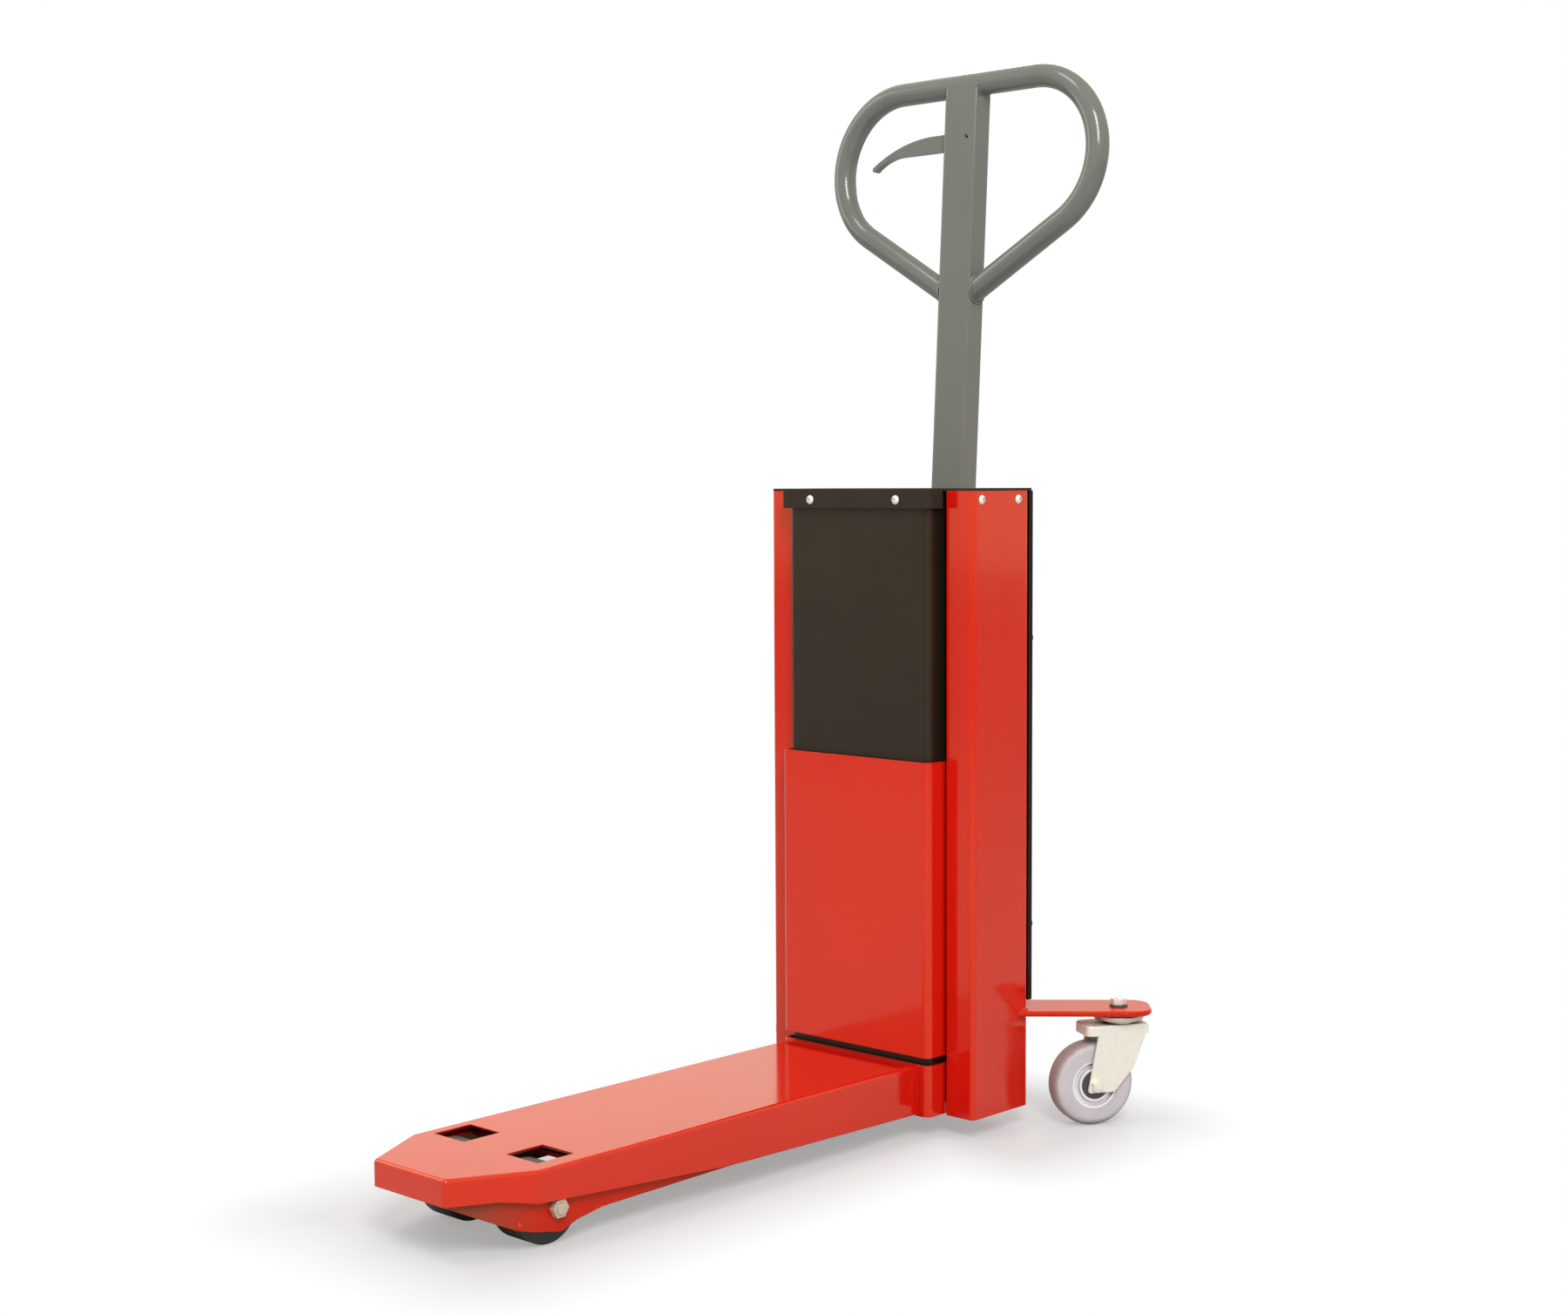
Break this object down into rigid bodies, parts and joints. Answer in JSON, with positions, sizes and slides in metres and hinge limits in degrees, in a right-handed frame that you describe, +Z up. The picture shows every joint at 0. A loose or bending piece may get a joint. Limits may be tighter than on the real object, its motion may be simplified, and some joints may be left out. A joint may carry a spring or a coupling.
{
  "type": "quarter pallet truck",
  "caption": "Narrow hand pallet truck with one tapered fork over a roller leg, a sheet column with a hand pump, a loop tiller with a release lever and rear swivel castors.",
  "frame": {"origin": "on the floor under the middle of the truck's bounding box", "axes": "+Z up, -Y from the castors to the fork tip, +X to the right of the fork seen from its tip's far side"},
  "size_m": [0.5412, 0.9272, 1.2621],
  "materials": {
    "red_paint": "gloss red paint",
    "black_paint": "satin black powder coat",
    "grey_paint": "gloss grey paint",
    "zinc": "bright zinc plate",
    "steel": "plain machined steel",
    "chrome": "hard chrome",
    "cast_iron": "painted casting",
    "tyre_grey": "non-marking grey rubber",
    "hub_plastic": "moulded polyamide",
    "bearing_plastic": "natural polyamide",
    "roller_black": "black polyurethane"
  },
  "bodies": {
    "chassis": {"base_plate": "red_paint", "bracket_bolts": "zinc", "castor_arm_left": "red_paint", "castor_arm_right": "red_paint", "column_frame": "red_paint", "cylinder_gland": "steel", "front_cover": "black_paint", "kingpin_left": "zinc", "kingpin_nut_left": "zinc", "kingpin_nut_right": "zinc", "kingpin_right": "zinc", "leg_frame": "red_paint", "lid_screws": "zinc", "lift_cylinder": "steel", "oil_tank": "black_paint", "plunger_spring": "steel", "pump_body": "cast_iron", "rear_cover": "black_paint", "rear_cover_screws": "black_paint", "release_valve": "steel", "roller_axle": "steel", "roller_axle_nuts": "zinc", "roller_spacer": "steel", "swivel_race_left": "zinc", "swivel_race_right": "zinc", "tank_plug": "zinc", "tiller_bracket": "red_paint", "tiller_pivot_pins": "steel", "top_lid": "black_paint"},
    "carriage": {"fork": "red_paint", "carriage_panel": "red_paint", "carriage_frame": "black_paint", "slide_pads": "bearing_plastic", "carriage_bolts": "zinc", "lift_ram": "chrome"},
    "tiller": {"tiller_tube": "grey_paint", "handle_loop": "grey_paint", "tiller_foot": "grey_paint", "lever_pin": "steel"},
    "plunger": {"pump_plunger": "steel"},
    "release_lever": {"release_lever": "grey_paint"},
    "release_rod": {"release_rod": "steel"},
    "valve_arm": {"valve_arm": "steel"},
    "castor_fork_right": {"castor_fork_right": "zinc", "castor_axle_right": "zinc"},
    "castor_wheel_right": {"castor_tyre_right": "tyre_grey", "castor_hub_right": "hub_plastic", "castor_bush_right": "bearing_plastic"},
    "load_roller_right": {"load_roller_right": "roller_black", "roller_bush_right": "bearing_plastic"},
    "castor_fork_left": {"castor_fork_left": "zinc", "castor_axle_left": "zinc"},
    "castor_wheel_left": {"castor_tyre_left": "tyre_grey", "castor_hub_left": "hub_plastic", "castor_bush_left": "bearing_plastic"},
    "load_roller_left": {"load_roller_left": "roller_black", "roller_bush_left": "bearing_plastic"}
  },
  "joints": [
    {"name": "lift", "type": "slide", "parent": "chassis", "child": "carriage", "axis": [0, 0, 1], "range_m": [0, 0.25]},
    {"name": "tiller_pump", "type": "hinge", "parent": "chassis", "child": "tiller", "pos_m": [0, 0.35739, 0.165], "axis": [-1, 0, 0], "range_deg": [0, 45], "stiffness_Nm_per_rad": 26, "springref_deg": -34.38},
    {"name": "plunger_slide", "type": "slide", "parent": "chassis", "child": "plunger", "axis": [0, -1, 0], "range_m": [0, 0.029], "deforming": ["plunger_spring"]},
    {"name": "release_squeeze", "type": "hinge", "parent": "tiller", "child": "release_lever", "pos_m": [0.0115, 0.41682, 1.18327], "axis": [0, 0.9983, -0.0583], "range_deg": [0, 18], "stiffness_Nm_per_rad": 3, "springref_deg": -17.19},
    {"name": "rod_pull", "type": "slide", "parent": "tiller", "child": "release_rod", "axis": [0, 0.0583, 0.9983], "range_m": [0, 0.0068]},
    {"name": "valve_turn", "type": "hinge", "parent": "chassis", "child": "valve_arm", "pos_m": [0, 0.32439, 0.181], "axis": [1, 0, 0], "range_deg": [0, 3.2]},
    {"name": "castor_swivel_right", "type": "hinge", "parent": "chassis", "child": "castor_fork_right", "pos_m": [0.229, 0.42239, 0.121], "axis": [0, 0, 1], "continuous": true},
    {"name": "castor_roll_right", "type": "hinge", "parent": "castor_fork_right", "child": "castor_wheel_right", "pos_m": [0.21046, 0.39154, 0.05], "axis": [0.8572, -0.515, 0], "continuous": true},
    {"name": "castor_swivel_left", "type": "hinge", "parent": "chassis", "child": "castor_fork_left", "pos_m": [-0.229, 0.42239, 0.121], "axis": [0, 0, 1], "continuous": true},
    {"name": "castor_roll_left", "type": "hinge", "parent": "castor_fork_left", "child": "castor_wheel_left", "pos_m": [-0.23771, 0.38746, 0.05], "axis": [0.9703, -0.2419, 0], "continuous": true},
    {"name": "roller_roll_right", "type": "hinge", "parent": "chassis", "child": "load_roller_right", "pos_m": [0.0582, -0.34861, 0.0405], "axis": [1, 0, 0], "continuous": true},
    {"name": "roller_roll_left", "type": "hinge", "parent": "chassis", "child": "load_roller_left", "pos_m": [-0.0582, -0.34861, 0.0405], "axis": [1, 0, 0], "continuous": true}
  ],
  "couplings": [
    {"joint": "plunger_slide", "follows": "tiller_pump", "m_per_rad": 0.036837},
    {"joint": "rod_pull", "follows": "release_squeeze", "m_per_rad": 0.0205},
    {"joint": "valve_turn", "follows": "release_squeeze", "ratio": 0.16667}
  ]
}
